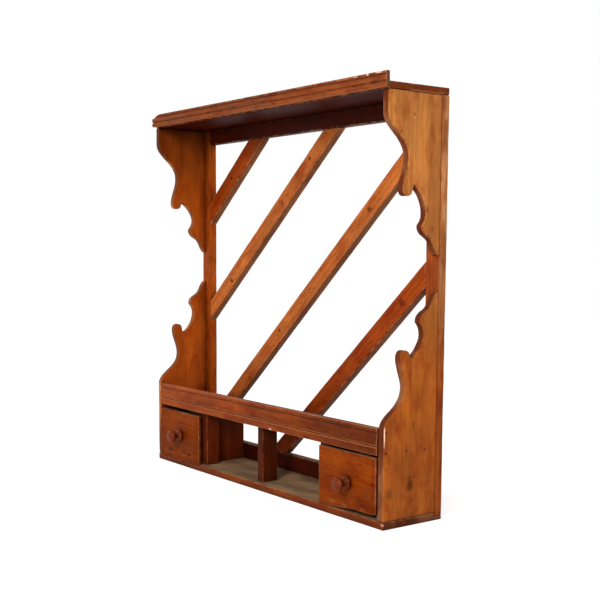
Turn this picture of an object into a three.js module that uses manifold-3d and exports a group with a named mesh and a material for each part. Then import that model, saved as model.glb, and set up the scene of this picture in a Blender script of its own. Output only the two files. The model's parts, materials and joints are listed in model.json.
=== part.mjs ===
// A pine plate rack: an open back frame of two stiles and two rails crossed by four slanting
// slats, with scrolled side boards, a moulded cornice, a shelf behind a moulded rail for the
// plates to stand on, and two small drawers below it on either side of an open space.
// Millimetres. X runs along the width, -Y is the front, +Z is up. The origin is at the middle of
// the rack's box, on the surface that it stands on.

import * as THREE from 'three';
import { mergeVertices } from 'three/addons/utils/BufferGeometryUtils.js';
import Module from 'manifold-3d';

const wasm = await Module();
wasm.setup();

// Overall sizes
const caseWidth = 1046;
const caseDepth = 187;
const overallHeight = 1040;

// Boards
const bottomThickness = 19;
const topThickness = 17;
const leftSideThickness = 17;
const rightSideThickness = 22;
const shelfThickness = 16;
const dividerThickness = 16;

// Back frame
const stileDepth = 24;
const leftStileWidth = 41;
const rightStileWidth = 45;
const stileHousing = 10;
const topRailHeight = 42;
const lowRailHeight = 47;
const slatThickness = stileDepth;

// Slats, from the upper left to the lower right: the width of each, and where the middle of its
// ends meets the frame, in shares of the frame's opening across and up
const firstSlatWidth = 49;
const secondSlatWidth = 43;
const thirdSlatWidth = 43;
const fourthSlatWidth = 47;
const slats = [
  { name: 'diagonal_slat_1', width: firstSlatWidth, lower: [0, 0.7668], upper: [0.2596, 1] },
  { name: 'diagonal_slat_2', width: secondSlatWidth, lower: [0, 0.4351], upper: [0.6203, 1] },
  { name: 'diagonal_slat_3', width: thirdSlatWidth, lower: [0, 0.0278], upper: [1, 0.9646] },
  { name: 'diagonal_slat_4', width: fourthSlatWidth, lower: [0.3775, 0], upper: [1, 0.5851] },
];

// Scrolled side boards, sawn by hand and each a little different: the scroll's length from its tip
// to its neck, and how far along it the lobe ends and the notch beside the lobe is sawn, in shares
// of that length
const scrolls = {
  upper_left: { length: 222, lobe: 0.587, notch: 0.668 },
  upper_right: { length: 222, lobe: 0.604, notch: 0.716 },
  lower_left: { length: 222, lobe: 0.587, notch: 0.714 },
  lower_right: { length: 226, lobe: 0.587, notch: 0.677 },
};

// The shoulder that swells from the neck to the full depth, and the square end of the upper boards.
// The lower boards are square up to the top of the front rail
const upperShoulder = 96;
const lowerShoulder = 86;
const upperSquareEnd = 50;

// Mouldings: each band's height and how far it rounds over at its lower and its upper edge, from
// the bottom up
const corniceBands = [[12, 2.5, 2.5], [11.5, 1.5, 2], [6.5, 2, 2.5]];
const corniceGroove = { width: 3, depth: 3.5 };
const corniceThickness = 12;
const corniceOverhang = 3.5;
const corniceRise = 21;
const corniceWornLength = 42;
const corniceWornDepth = 11;
const railBands = [[19, 1, 1], [29, 0.5, 3], [10, 2, 3]];
const railGroove = { width: 3, depth: 3.5 };
const railThickness = 20;
const railProud = 4;
const railUnderside = 173;

// Posts and dividers between the drawers
const centrePostWidth = 25;
const centrePostDepth = 48;
const centrePostOffset = 1.5;
const sidePostWidth = 26;
const sidePostDepth = 42;
const drawerBay = 195;

// Drawers: the left front has sunk a little way into a rebate in the bottom board's edge, and the
// right front is worn away along its lower edge
const frontThickness = 10;
const frontProud = 1.5;
const frontTopGap = 6.5;
const frontLap = 9;
const frontToPost = 8.5;
const leftFrontDrop = 5;
const rightFrontWear = 12;
const drawerSideGap = 4;
const drawerRunGap = 1.5;
const drawerBackGap = 8;
const drawerWall = 8;
const drawerWallDrop = 25;
const drawerFloorThickness = 5;
const drawerFloorRise = 13;
const drawerGrooveDepth = 4;

// Knobs, which stand a little to the right of the middle of their fronts
const knobDiameter = 36;
const knobLength = 40;
const knobRise = 72;
const knobOffset = 5;
const knobSpigotDiameter = 12;

// Nails
const nailShank = 3;
const nailHead = 7;
const nailHeadThickness = 1;
const nailSunk = 0.2;
const nailLength = 40;
const shelfNailPitch = 59;
const shelfNailSetback = 9;
const backShelfNailDrop = 4;
const railNailInset = 8;
const boardNailSetback = 56;

// Gap between pieces that move or are cut round each other, and how far a cutting tool passes
// beyond what it cuts
const fit = 0.3;
const overrun = 5;

// Smoothness: straight steps in each curve of an outline, and sides of a turned piece
const outlineSteps = 8;
const scrollSteps = 14;
const nailSides = 12;
const knobSides = 24;

// Places worked out from the sizes. The knobs stand foremost, so they set the middle of the depth
const right = caseWidth / 2;
const left = -right;
const front = (frontProud + knobLength - caseDepth) / 2;
const back = front + caseDepth;
const stileFace = back - stileDepth;
const boardDepth = stileFace - front;
const topSurface = overallHeight - corniceRise;
const topUnderside = topSurface - topThickness;
const insideRight = right - rightSideThickness;
const insideLeft = left + leftSideThickness;
const openingLeft = left + leftStileWidth;
const openingRight = right - rightStileWidth;
const topRailUnderside = topUnderside - topRailHeight;
const lowRailTop = bottomThickness + lowRailHeight;
const railFace = front - railProud;
const railBack = railFace + railThickness;
const railTop = railUnderside + mouldingHeight(railBands, railGroove);
const drawerFace = front - frontProud;
const frontBack = drawerFace + frontThickness;
const postFront = frontBack + frontToPost;

// Finishes
const wood = (color, roughness) => ({ color, roughness, metalness: 0 });
const waxedPine = wood(0xa8602a, 0.42);
const darkPine = wood(0x7a3d1a, 0.45);
const drawerPine = wood(0xa4581f, 0.4);
const barePine = wood(0xb08a5c, 0.7);
const knobWood = wood(0x7d3418, 0.3);
const iron = { color: 0x2c2622, roughness: 0.6, metalness: 0.8 };

// A named piece, with a hole for every nail that passes through it
function piece(name, geometry, look) {
  const holes = nails.filter(({ through }) => through.includes(name)).map(nailHole);
  const mesh = new THREE.Mesh(cut(geometry, holes), new THREE.MeshStandardMaterial(look));
  mesh.name = name;
  return mesh;
}

// A box between two values on each axis
function block([x0, x1], [y0, y1], [z0, z1]) {
  const box = new THREE.BoxGeometry(x1 - x0, y1 - y0, z1 - z0);
  return box.translate((x0 + x1) / 2, (y0 + y1) / 2, (z0 + z1) / 2);
}

// The range between two distances from the middle, on the left side or on the right
function across(side, a, b) {
  return [side * a, side * b].sort((p, q) => p - q);
}

// Where a drawer's bay on one side ends, the far face of its divider, and both ends of the drawer's
// front, as distances from the middle of the rack
function bay(side) {
  const inside = side < 0 ? -insideLeft : insideRight;
  const edge = inside - drawerBay;
  const postEdge = edge - dividerThickness;
  return { edge, postEdge, frontOuter: inside - drawerSideGap, frontInner: postEdge - frontLap };
}

// A (Y, Z) outline run along X from one value to the next
function runAlongX(outline, x0, x1, curveSegments) {
  const solid = new THREE.ExtrudeGeometry(outline, { depth: x1 - x0, bevelEnabled: false, curveSegments });
  const turn = new THREE.Matrix4().makeBasis(
    new THREE.Vector3(0, 1, 0), new THREE.Vector3(0, 0, 1), new THREE.Vector3(1, 0, 0));
  return solid.applyMatrix4(turn).translate(x0, 0, 0);
}

// An (X, Z) outline run along Y from one value to the next
function runAlongY(outline, y0, y1, curveSegments) {
  const solid = new THREE.ExtrudeGeometry(outline, { depth: y1 - y0, bevelEnabled: false, curveSegments });
  const turn = new THREE.Matrix4().makeBasis(
    new THREE.Vector3(1, 0, 0), new THREE.Vector3(0, 0, 1), new THREE.Vector3(0, -1, 0));
  return solid.applyMatrix4(turn).translate(0, y1, 0);
}

// A turned piece: (radius, distance) points about an axis that points out of the rack
function turned(points, direction, at, sides) {
  const lathe = new THREE.LatheGeometry(points.map(([r, d]) => new THREE.Vector2(r, d)), sides);
  const turn = new THREE.Quaternion().setFromUnitVectors(new THREE.Vector3(0, 1, 0), direction);
  return lathe.applyQuaternion(turn).translate(...at);
}

function toSolid(geometry) {
  const bare = geometry.clone();
  bare.deleteAttribute('normal');
  bare.deleteAttribute('uv');
  const merged = mergeVertices(bare, 1e-4);
  return new wasm.Manifold(new wasm.Mesh({
    numProp: 3,
    vertProperties: new Float32Array(merged.attributes.position.array),
    triVerts: new Uint32Array(merged.index.array),
  }));
}

function toGeometry(solid) {
  const mesh = solid.getMesh();
  const geometry = new THREE.BufferGeometry();
  geometry.setAttribute('position', new THREE.BufferAttribute(new Float32Array(mesh.vertProperties), 3));
  geometry.setIndex(new THREE.BufferAttribute(new Uint32Array(mesh.triVerts), 1));
  geometry.computeVertexNormals();
  return geometry;
}

// What is left of a shape when tools are cut out of it
function cut(geometry, tools) {
  if (!tools.length) {
    return geometry;
  }
  return toGeometry(tools.reduce((solid, tool) => solid.subtract(toSolid(tool)), toSolid(geometry)));
}

// Nails

// Points of a nail from its tip to its head, or of its hole, which runs on past the surface
function nailPoints(clearance, top) {
  const shank = nailShank / 2 + clearance;
  const head = nailHead / 2 + clearance;
  const tip = -nailLength - clearance;
  const underHead = -nailHeadThickness - nailSunk - clearance;
  return [[0, tip], [shank, tip], [shank, underHead], [head, underHead], [head, top], [0, top]];
}

const nail = ({ direction, at }) => turned(nailPoints(0, -nailSunk), direction, at, nailSides);
const nailHole = ({ direction, at }) => turned(nailPoints(fit, overrun), direction, at, nailSides);

// Where one side's nails go, and the pieces that each passes through
function nailsOf(side, word) {
  const outwards = new THREE.Vector3(side, 0, 0);
  const up = new THREE.Vector3(0, 0, 1);
  const down = new THREE.Vector3(0, 0, -1);
  const stileWidth = side < 0 ? leftStileWidth : rightStileWidth;
  const face = side * right;
  const sideThickness = side < 0 ? leftSideThickness : rightSideThickness;
  const boardMiddle = side * (right - sideThickness / 2);
  const stileMiddle = side * (right - stileWidth / 2);
  const boardNailY = front + boardNailSetback;
  const stileNailY = (stileFace + back) / 2;
  const railMiddle = (railFace + railBack) / 2;
  const upperRailNailZ = railTop - railNailInset;
  const lowerRailNailZ = railUnderside + railNailInset;
  const shelfNailZ = railUnderside + shelfThickness / 2;
  const shelfNailY = (railBack + stileFace - shelfNailPitch) / 2 + shelfNailSetback;
  const backShelfNailY = shelfNailY + shelfNailPitch;
  const upper = `upper_${word}_side_board`;
  const lower = `lower_${word}_side_board`;
  const stile = `${word}_stile`;
  const row = (name, direction, at, through) => (
    { name: `${word}_${name}`, direction, at, through });
  return [
    row('rail_nail_upper', outwards, [face, railMiddle, upperRailNailZ], [lower, 'front_rail']),
    row('rail_nail_lower', outwards, [face, railMiddle, lowerRailNailZ], [lower, 'front_rail']),
    row('shelf_nail_front', outwards, [face, shelfNailY, shelfNailZ], [lower, 'plate_shelf']),
    row('shelf_nail_back', outwards, [face, backShelfNailY, shelfNailZ - backShelfNailDrop],
      [lower, 'plate_shelf']),
    row('top_nail_front', up, [boardMiddle, boardNailY, topSurface], ['top_board', upper]),
    row('top_nail_back', up, [stileMiddle, stileNailY, topSurface], ['top_board', stile]),
    row('bottom_nail_front', down, [boardMiddle, boardNailY, 0], ['bottom_board', lower]),
    row('bottom_nail_back', down, [stileMiddle, stileNailY, 0], ['bottom_board', stile]),
  ];
}

const nails = [...nailsOf(-1, 'left'), ...nailsOf(1, 'right')];

// Side boards

// The scroll is cut into the front of each side board, from its neck to its tip at the stile.
// Points are shares of the board's depth from the stile and of the scroll's length from its tip
function scrolledOutline({ length, lobe, notch }, neckHeight, end, shoulder) {
  const upwards = Math.sign(end - neckHeight);
  const tip = neckHeight - upwards * length;
  const at = (depthShare, lengthShare) => [
    stileFace - depthShare * boardDepth, tip + upwards * lengthShare * length];
  const outline = new THREE.Shape();
  const line = (...point) => outline.lineTo(...at(...point));
  const curve = (...points) => outline.bezierCurveTo(...points.flatMap((point) => at(...point)));
  const neck = [0.612, 1];
  outline.moveTo(...at(0, 0));
  line(0.03, 0);
  curve([0.12, 0.07], [0.11, 0.14], [0.2, 0.18]);
  curve([0.275, 0.21], [0.356, 0.243], [0.344, 0.315]);
  curve([0.175, 0.424], [0.312, notch - 0.08], [0.506, notch]);
  line(0.531, lobe + 0.058);
  curve([0.534, lobe + 0.021], [0.569, lobe], [0.625, lobe]);
  curve([0.681, lobe], [0.716, lobe + 0.03], [0.712, lobe + 0.079]);
  curve([0.712, lobe + 0.188], [0.606, 0.882], neck);
  const shoulderShare = (share) => 1 + share * shoulder / length;
  curve([neck[0], shoulderShare(0.46)], [1, shoulderShare(0.645)], [1, shoulderShare(1)]);
  outline.lineTo(front, end);
  outline.lineTo(stileFace, end);
  return outline;
}

function sideBoards() {
  const upperNeck = topUnderside - upperSquareEnd - upperShoulder;
  const lowerNeck = railTop + lowerShoulder;
  const board = (level, word, neckHeight, end, shoulder) => {
    const outline = scrolledOutline(scrolls[`${level}_${word}`], neckHeight, end, shoulder);
    const span = word === 'left' ? [left, insideLeft] : [insideRight, right];
    return piece(`${level}_${word}_side_board`, runAlongX(outline, ...span, scrollSteps), waxedPine);
  };
  return ['left', 'right'].flatMap((word) => [
    board('upper', word, upperNeck, topUnderside, upperShoulder),
    board('lower', word, lowerNeck, bottomThickness, lowerShoulder),
  ]);
}

// Mouldings

function mouldingHeight(bands, groove) {
  return bands.reduce((sum, [height]) => sum + height, 0) + (bands.length - 1) * groove.width;
}

// A moulded strip's outline: rounded bands with a groove between each two
function mouldedOutline(backFace, face, bottom, bands, groove) {
  const outline = new THREE.Shape();
  outline.moveTo(backFace, bottom);
  let z = bottom;
  bands.forEach(([height, lowerRound, upperRound], index) => {
    outline.lineTo(face + lowerRound, z);
    outline.quadraticCurveTo(
      face - Math.sqrt(lowerRound * upperRound), z + height / 2, face + upperRound, z + height);
    z += height;
    if (index < bands.length - 1) {
      outline.lineTo(face + groove.depth, z + groove.width / 2);
      z += groove.width;
    }
  });
  outline.lineTo(backFace, z);
  return outline;
}

// The cornice strip stands on edge against the top board's front and runs on a little past both of
// its ends. Its left top corner is worn away
function corniceMoulding() {
  const bottom = overallHeight - mouldingHeight(corniceBands, corniceGroove);
  const face = front - corniceThickness;
  const outline = mouldedOutline(front, face, bottom, corniceBands, corniceGroove);
  const x0 = left - corniceOverhang;
  const x1 = right + corniceOverhang;
  const worn = new THREE.Shape();
  const beyond = overrun * corniceWornDepth / corniceWornLength;
  worn.moveTo(x0 - overrun, overallHeight - corniceWornDepth - beyond);
  worn.lineTo(x0 + corniceWornLength + overrun, overallHeight + beyond);
  worn.lineTo(x0 - overrun, overallHeight + beyond);
  const wear = runAlongY(worn, face - overrun, front + overrun, outlineSteps);
  return piece('cornice_moulding', cut(runAlongX(outline, x0, x1, outlineSteps), [wear]), waxedPine);
}

function frontRail() {
  const outline = mouldedOutline(railBack, railFace, railUnderside, railBands, railGroove);
  return piece('front_rail', runAlongX(outline, insideLeft, insideRight, outlineSteps), waxedPine);
}

// Back frame

// A slat is a straight length of stock cut off where it meets the frame's opening
function slat({ name, width, lower, upper }) {
  const at = ([shareAcross, shareUp]) => new THREE.Vector2(
    THREE.MathUtils.lerp(openingLeft, openingRight, shareAcross),
    THREE.MathUtils.lerp(lowRailTop, topRailUnderside, shareUp));
  const run = at(upper).sub(at(lower));
  const middle = at(lower).addScaledVector(run, 0.5);
  const stock = new THREE.BoxGeometry(run.length() + 2 * width, slatThickness, width);
  stock.rotateY(-run.angle()).translate(middle.x, stileFace + slatThickness / 2, middle.y);
  const opening = block([openingLeft + fit, openingRight - fit], [front, back + overrun],
    [lowRailTop + fit, topRailUnderside - fit]);
  return piece(name, toGeometry(toSolid(stock).intersect(toSolid(opening))), waxedPine);
}

function backFrame() {
  const depth = [stileFace, back];
  const stileSpan = [bottomThickness - stileHousing, topUnderside];
  const lowRailSpan = [openingLeft + fit, openingRight - fit];
  const topRailSpan = [openingLeft, openingRight];
  return [
    piece('left_stile', block([left, openingLeft], depth, stileSpan), waxedPine),
    piece('right_stile', block([openingRight, right], depth, stileSpan), waxedPine),
    piece('top_back_rail', block(topRailSpan, depth, [topRailUnderside, topUnderside]), darkPine),
    piece('low_back_rail', block(lowRailSpan, depth, [bottomThickness, lowRailTop]), darkPine),
    ...slats.map(slat),
  ];
}

// Top and bottom boards

function topBoard() {
  return piece('top_board', block([left, right], [front, back], [topUnderside, topSurface]), darkPine);
}

// The stiles are housed into the bottom board, and the left drawer's front sinks into its edge
function bottomBoard() {
  const board = block([left, right], [front, back], [0, bottomThickness]);
  const housing = (x) => block(x, [stileFace - fit, back + overrun],
    [bottomThickness - stileHousing, bottomThickness + overrun]);
  const { frontOuter, frontInner } = bay(-1);
  const rebate = block(across(-1, frontOuter + fit, frontInner - fit),
    [front - overrun, frontBack + fit], [bottomThickness - leftFrontDrop, bottomThickness + overrun]);
  const leftHousing = housing([left - overrun, openingLeft + fit]);
  const rightHousing = housing([openingRight - fit, right + overrun]);
  return piece('bottom_board', cut(board, [leftHousing, rightHousing, rebate]), waxedPine);
}

// Shelf, posts and dividers

function plateShelf() {
  const height = [railUnderside, railUnderside + shelfThickness];
  return piece('plate_shelf', block([insideLeft, insideRight], [railBack, stileFace], height), darkPine);
}

// Each drawer's bay ends in a divider with a post against it. One more post stands in the middle
function postsAndDividers() {
  const height = [bottomThickness, railUnderside];
  const centreLeft = centrePostOffset - centrePostWidth / 2;
  const centre = block([centreLeft, centreLeft + centrePostWidth],
    [postFront, postFront + centrePostDepth], height);
  return [
    piece('centre_post', centre, darkPine),
    ...[['left', -1], ['right', 1]].flatMap(([word, side]) => {
      const { edge, postEdge } = bay(side);
      const divider = block(across(side, edge, postEdge), [postFront, stileFace], height);
      const post = block(across(side, postEdge, postEdge - sidePostWidth),
        [postFront, postFront + sidePostDepth], height);
      return [piece(`${word}_divider`, divider, darkPine), piece(`${word}_post`, post, darkPine)];
    }),
  ];
}

// Drawers

// The knob is turned with a bead at its foot, a neck and a round head, and is held by its spigot.
// Its profile is in shares of its radius and its length
function knobShape(x, z) {
  const profile = [
    [0.86, 0.05], [0.93, 0.13], [0.87, 0.21], [0.68, 0.27], [0.5, 0.33], [0.46, 0.41], [0.54, 0.5],
    [0.76, 0.59], [0.94, 0.68], [1, 0.78], [0.95, 0.87], [0.78, 0.94], [0.45, 0.985], [0, 1]];
  const radius = knobDiameter / 2;
  const spigot = knobSpigotDiameter / 2;
  const foot = 0.74 * radius;
  const points = [
    [0, -frontThickness], [spigot, -frontThickness], [spigot, fit], [foot, fit],
    ...profile.map(([r, d]) => [r * radius, d * knobLength])];
  return turned(points, new THREE.Vector3(0, -1, 0), [x, drawerFace, z], knobSides);
}

// A drawer front is a plain board, whose lower edge may be worn away towards its right end
function frontShape([x0, x1], [bottom, top], wear) {
  const outline = new THREE.Shape();
  const at = (widthShare, wearShare) => [x0 + widthShare * (x1 - x0), bottom + wearShare * wear];
  outline.moveTo(x0, bottom);
  if (wear) {
    outline.bezierCurveTo(...at(0.35, 0), ...at(0.6, 0.9), ...at(0.72, 0.75));
    outline.quadraticCurveTo(...at(0.85, 0.6), ...at(1, 1));
  } else {
    outline.lineTo(x1, bottom);
  }
  outline.lineTo(x1, top);
  outline.lineTo(x0, top);
  return runAlongY(outline, drawerFace, frontBack, outlineSteps);
}

// One drawer: side is -1 for the left and 1 for the right, and drop is how far its front has sunk.
// Its bottom slides in grooves in the front and the sides, and passes under the back
function drawer(word, side, drop, wear) {
  const part = (name, geometry, look) => piece(`${word}_drawer_${name}`, geometry, look);
  const bottom = bottomThickness + fit;
  const frontTop = railUnderside - frontTopGap;
  const wallTop = frontTop - drawerWallDrop;
  const { edge, frontOuter: outer, frontInner } = bay(side);
  const inner = edge + drawerRunGap;
  const boxEnd = stileFace - drawerBackGap;
  const floor = bottom + drawerFloorRise;
  const floorTop = floor + drawerFloorThickness;
  const floorInset = drawerWall - drawerGrooveDepth;
  const grooveEnd = frontBack - drawerGrooveDepth;
  const width = across(side, outer, frontInner);
  const knobX = (width[0] + width[1]) / 2 + knobOffset;
  const knobHeight = bottom + knobRise;
  const groove = block(across(side, outer - floorInset + fit, inner + floorInset - fit),
    [grooveEnd - fit, boxEnd + overrun], [floor - fit, floorTop + fit]);
  const spigotHole = new THREE.CylinderGeometry(
    knobSpigotDiameter / 2 + fit, knobSpigotDiameter / 2 + fit, frontThickness + 2 * overrun, knobSides);
  spigotHole.translate(knobX, drawerFace + frontThickness / 2, knobHeight);
  const wall = (a, b) => cut(block(across(side, a, b), [frontBack, boxEnd], [bottom, wallTop]), [groove]);
  const board = frontShape(width, [bottom - drop, frontTop - drop], wear);
  return [
    part('front', cut(board, [groove, spigotHole]), drawerPine),
    part('outer_side', wall(outer, outer - drawerWall), barePine),
    part('inner_side', wall(inner + drawerWall, inner), barePine),
    part('back', block(across(side, outer - drawerWall, inner + drawerWall),
      [boxEnd - drawerWall, boxEnd], [floorTop + fit, wallTop]), barePine),
    part('bottom', block(across(side, outer - floorInset, inner + floorInset),
      [grooveEnd, boxEnd], [floor, floorTop]), barePine),
    part('knob', knobShape(knobX, knobHeight), knobWood),
  ];
}

const plateRack = new THREE.Group();
plateRack.add(
  bottomBoard(), topBoard(), corniceMoulding(), ...backFrame(), ...sideBoards(),
  frontRail(), plateShelf(), ...postsAndDividers(),
  ...nails.map((each) => piece(each.name, nail(each), iron)),
  ...drawer('left', -1, leftFrontDrop, 0), ...drawer('right', 1, 0, rightFrontWear));

export default plateRack;
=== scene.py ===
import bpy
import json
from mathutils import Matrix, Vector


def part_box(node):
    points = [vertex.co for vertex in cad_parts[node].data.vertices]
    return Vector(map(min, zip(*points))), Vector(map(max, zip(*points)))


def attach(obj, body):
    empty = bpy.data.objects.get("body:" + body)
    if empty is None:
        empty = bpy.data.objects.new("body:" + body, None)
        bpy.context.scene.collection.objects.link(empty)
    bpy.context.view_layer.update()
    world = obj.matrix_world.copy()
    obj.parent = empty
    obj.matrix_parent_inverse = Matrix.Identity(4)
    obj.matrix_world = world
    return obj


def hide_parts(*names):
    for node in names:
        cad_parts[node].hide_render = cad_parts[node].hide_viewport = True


bl_info = {
    "name": "Pine plate rack",
    "version": (1, 0, 0),
    "blender": (4, 5, 0),
    "location": "3D View > Sidebar > Plate Rack",
    "description": "Dresses an old waxed pine plate rack: worn boards, mouldings, drawers and knobs",
    "category": "Add Mesh",
}

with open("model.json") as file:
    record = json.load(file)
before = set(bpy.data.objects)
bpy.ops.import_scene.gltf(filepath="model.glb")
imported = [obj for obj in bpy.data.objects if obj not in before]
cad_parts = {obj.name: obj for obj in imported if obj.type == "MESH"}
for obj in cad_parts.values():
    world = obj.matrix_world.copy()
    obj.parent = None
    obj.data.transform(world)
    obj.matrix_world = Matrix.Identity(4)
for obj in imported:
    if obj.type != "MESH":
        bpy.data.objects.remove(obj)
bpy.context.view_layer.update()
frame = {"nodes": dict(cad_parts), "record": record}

import json
import math

import bmesh
import bpy
from bpy.props import FloatProperty, FloatVectorProperty, IntProperty, PointerProperty
from bpy.types import Operator, Panel, PropertyGroup
from mathutils import Matrix, Vector, noise

# Axes of the rack: across it, from front to back, and up
ACROSS = Vector((1, 0, 0))
DEPTH = Vector((0, 1, 0))
UP = Vector((0, 0, 1))

# Tolerances of the mesh work, in metres and radians
WELD = 1e-6
FLAT = math.radians(1)
SHARP = math.radians(35)
NAIL_REACH = 0.001

# The steepest angle between two faces that still shade as one
SMOOTH = math.radians(50)

# How many faces round an arris over
ARRIS_STEPS = 3

# The largest face that counts as part of a moulding's grooves, which get soiling and painted shade, in
# square metres
GROOVE_AREA = 0.006

# How far out the case's outer faces lie
CASE_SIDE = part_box("right_stile")[1].x

# The plane in which the side boards butt against the stiles, the least distance of these joints
# from the rack's middle, how near to the plane an edge has to lie, and how wide the dark line is
# on each side of the joint
JOINT_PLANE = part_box("left_stile")[0].y
JOINT_OUT = 0.5
JOINT_REACH = 1e-4
JOINT_STAIN = 0.0028

# The nails' boxes, so that the holes round them keep their crisp rims
NAIL_BOXES = [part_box(node) for node in sorted(frame["nodes"]) if "_nail_" in node]

BODIES = {node: body for body, nodes in frame["record"]["behaviour"]["bodies"].items() for node in nodes}


def paint(red, green, blue):
    """A colour given as it looks on a screen, from 0 to 255, as the linear colour that shaders take."""
    def linear(value):
        share = value / 255
        return share / 12.92 if share <= 0.04045 else ((share + 0.055) / 1.055) ** 2.4
    return tuple(linear(value) for value in (red, green, blue))


def colour(name, description, red, green, blue):
    """A colour property with its default."""
    return FloatVectorProperty(
        name=name, description=description, subtype="COLOR", size=3, min=0, max=1,
        default=paint(red, green, blue))


class PlateRackSizes(PropertyGroup):
    arris: FloatProperty(
        name="Arris", description="How far the boards' long edges are rounded over",
        default=0.0016, min=0.0003, max=0.004, unit="LENGTH")
    dents: FloatProperty(
        name="Dents", description="How deep the edges are dented by use",
        default=0.0018, min=0, max=0.006, unit="LENGTH")
    planing: FloatProperty(
        name="Planing", description="How uneven the hand-planed faces are",
        default=0.00035, min=0, max=0.002, unit="LENGTH")
    station: FloatProperty(
        name="Stations", description="Distance between the sections that a board is shaped at",
        default=0.014, min=0.004, max=0.1, unit="LENGTH")
    knob_sides: IntProperty(
        name="Knob sides", description="How many sides a turned knob has", default=64, min=12, max=256)


class PlateRackColours(PropertyGroup):
    faded_high: colour("Faded pine, high up", "Outer faces near the top", 173, 107, 52)
    faded_low: colour("Faded pine, low down", "Outer faces near the bottom", 156, 81, 26)
    stile_high: colour("Stiles, high up", "Outer faces of the stiles near the top", 178, 122, 76)
    stile_low: colour("Stiles, low down", "Outer faces of the stiles near the bottom", 144, 72, 25)
    inside: colour("Varnished pine", "Orange-brown varnish on the inner faces", 158, 70, 14)
    slat: colour("Slats", "Varnish on the slats' faces", 182, 98, 42)
    slat_red: colour("Redder slats", "Varnish on the first and the last slat", 144, 58, 11)
    rail: colour("Front rail", "Varnish on the front rail, bottom board and right stile", 142, 64, 22)
    cornice: colour("Cornice", "Varnish on the cornice", 130, 64, 28)
    drawer: colour("Drawer fronts", "Varnish on the drawer fronts", 134, 56, 7)
    dark: colour("Stained pine", "Red-brown stain on the shelf, posts and dividers", 98, 36, 10)
    # Painted shade: the top board and the back rails take this nearly black colour, as dark as the shade
    # under the top and at the back of the rack
    deep: colour("Deep shade", "Nearly black stain on the top and the back rails", 66, 15, 3)
    rim: colour("Rims", "Sawn rims of the boards", 102, 46, 20)
    rim_light: colour("Rubbed rims", "Paler stretches of the sawn rims", 124, 76, 48)
    # Also the painted highlight laid on every rounded edge of the mouldings
    bead_wear_and_highlight: colour("Rubbed mouldings", "Edges of the mouldings' bands, rubbed by hands", 184, 108, 62)
    edge: colour("Slat edges", "Grey-brown narrow sides of the slats", 138, 84, 50)
    end_grain: colour("End grain", "Grey-brown sawn ends of the mouldings", 86, 56, 36)
    bare: colour("Bare pine", "Unvarnished inner boards of the drawers", 176, 138, 92)
    dusty: colour("Dusty pine", "Grey-brown bare upper faces", 142, 112, 82)
    worn: colour("Worn edge", "Pale wood where the varnish has rubbed off", 190, 128, 84)
    chip: colour("Chip", "Fresh pale wood where a splinter has broken off", 232, 190, 164)
    # Besides real soiling, dark marks and rust, this colour is the painted shade in corners, joints and
    # grooves
    grime_and_shade: colour("Grime and shade", "Dark dirt in corners and joints", 34, 11, 4)
    knob: colour("Knob", "Polished red-brown of the turned knobs", 112, 44, 14)
    iron: colour("Nail iron", "Rusty iron of the nail heads, stained over", 112, 52, 22)
    floor: colour("Floor", "Pale plain floor", 246, 246, 246)


# How much darker the grain is than the wood round it, in red, green and blue
GRAIN_TONE = (0.5, 0.38, 0.3)

# How much redder the patches and the broad stains are
PATCH_TONE = (0.74, 0.52, 0.38)
STAIN_TONE = (0.6, 0.4, 0.3)

# How much paler and yellower the wood is where the varnish is thin
THIN_TONE = (1.22, 1.3, 1.2)

# The amber tint of what the wax reflects
WAX_TINT = (1.0, 0.62, 0.45)


def sizes():
    """The sizes set in the sidebar."""
    return bpy.context.scene.plate_rack_sizes


def colours():
    """The colours set in the sidebar."""
    return bpy.context.scene.plate_rack_colours


def empty_material(name):
    """A new material with nothing in its node tree."""
    material = bpy.data.materials.new(name)
    material.use_nodes = True
    material.node_tree.nodes.clear()
    return material


def added(name, data):
    """A new object in the scene."""
    thing = bpy.data.objects.new(name, data)
    bpy.context.scene.collection.objects.link(thing)
    return thing


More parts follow.
